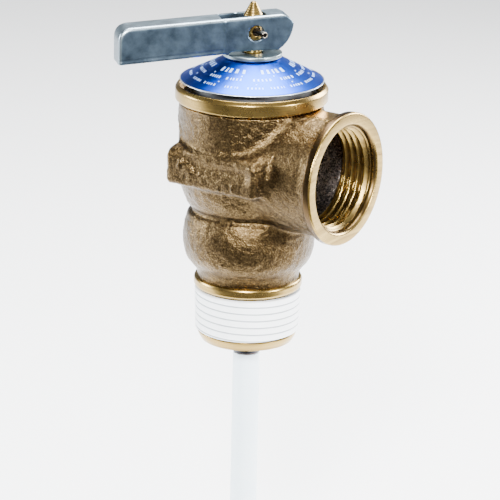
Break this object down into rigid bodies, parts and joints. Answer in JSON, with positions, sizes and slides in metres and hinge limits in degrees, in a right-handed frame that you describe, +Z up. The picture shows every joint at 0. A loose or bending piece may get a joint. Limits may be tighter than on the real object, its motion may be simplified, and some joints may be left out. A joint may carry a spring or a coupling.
{
  "type": "pressure relief valve",
  "caption": "Angle-pattern temperature and pressure relief valve with a test lever, a side outlet and a coated thermostat probe.",
  "frame": {"origin": "centre of the inlet's end face, on the spindle's axis", "axes": "+Z up the spindle's axis, +X out along the outlet's axis"},
  "size_m": [0.0544, 0.0478, 0.189],
  "materials": {
    "cast_bronze": "as-cast bronze with a sand grain, turned bright at the rims",
    "turned_brass": "turned",
    "zinc_plate": "zinc plated, satin",
    "stainless": "drawn, satin",
    "copper": "drawn",
    "blue_aluminium": "printed blue, bare at the edge",
    "white_sealant": "matt sealant coating",
    "white_coating": "smooth plastic coating",
    "black_rubber": "matt",
    "red_silicone": "matt",
    "expansion_wax": "waxy"
  },
  "bodies": {
    "valve": {"valve_body": "cast_bronze", "thread_sealant": "white_sealant", "thermostat_bracket": "turned_brass", "probe_ferrule": "stainless", "probe_tube": "copper", "probe_coating": "white_coating", "wax_charge": "expansion_wax", "wax_seal_plug": "black_rubber", "rod_guide_bush": "turned_brass", "main_spring": "stainless", "bonnet_gasket": "black_rubber", "bonnet_plate": "zinc_plate", "spindle_bush": "turned_brass", "name_plate": "blue_aluminium"},
    "washer": {"lever_washer": "zinc_plate"},
    "spindle_group": {"spindle": "turned_brass", "lever_pin": "stainless", "disc_holder": "turned_brass", "seat_disc": "red_silicone", "disc_retainer": "stainless", "disc_nut": "turned_brass"},
    "lever": {"lever": "zinc_plate"},
    "rod": {"push_rod": "stainless"}
  },
  "joints": [
    {"name": "lever_swivel", "type": "hinge", "parent": "valve", "child": "washer", "pos_m": [0, 0, 0.0742], "axis": [0, 0, 1], "continuous": true},
    {"name": "spindle_lift", "type": "slide", "parent": "washer", "child": "spindle_group", "axis": [0, 0, 1], "range_m": [0, 0.0038], "stiffness_N_per_m": 16700, "springref_m": -0.00785, "deforming": ["main_spring"]},
    {"name": "lever_pivot", "type": "hinge", "parent": "spindle_group", "child": "lever", "pos_m": [0, 0, 0.0801], "axis": [-0.7513, 0.66, 0], "range_deg": [0, 80]},
    {"name": "rod_slide", "type": "slide", "parent": "valve", "child": "rod", "axis": [0, 0, 1], "range_m": [0, 0.0009]}
  ],
  "couplings": [
    {"joint": "lever_pivot", "follows": "spindle_lift", "rad_per_m": 363.64}
  ]
}
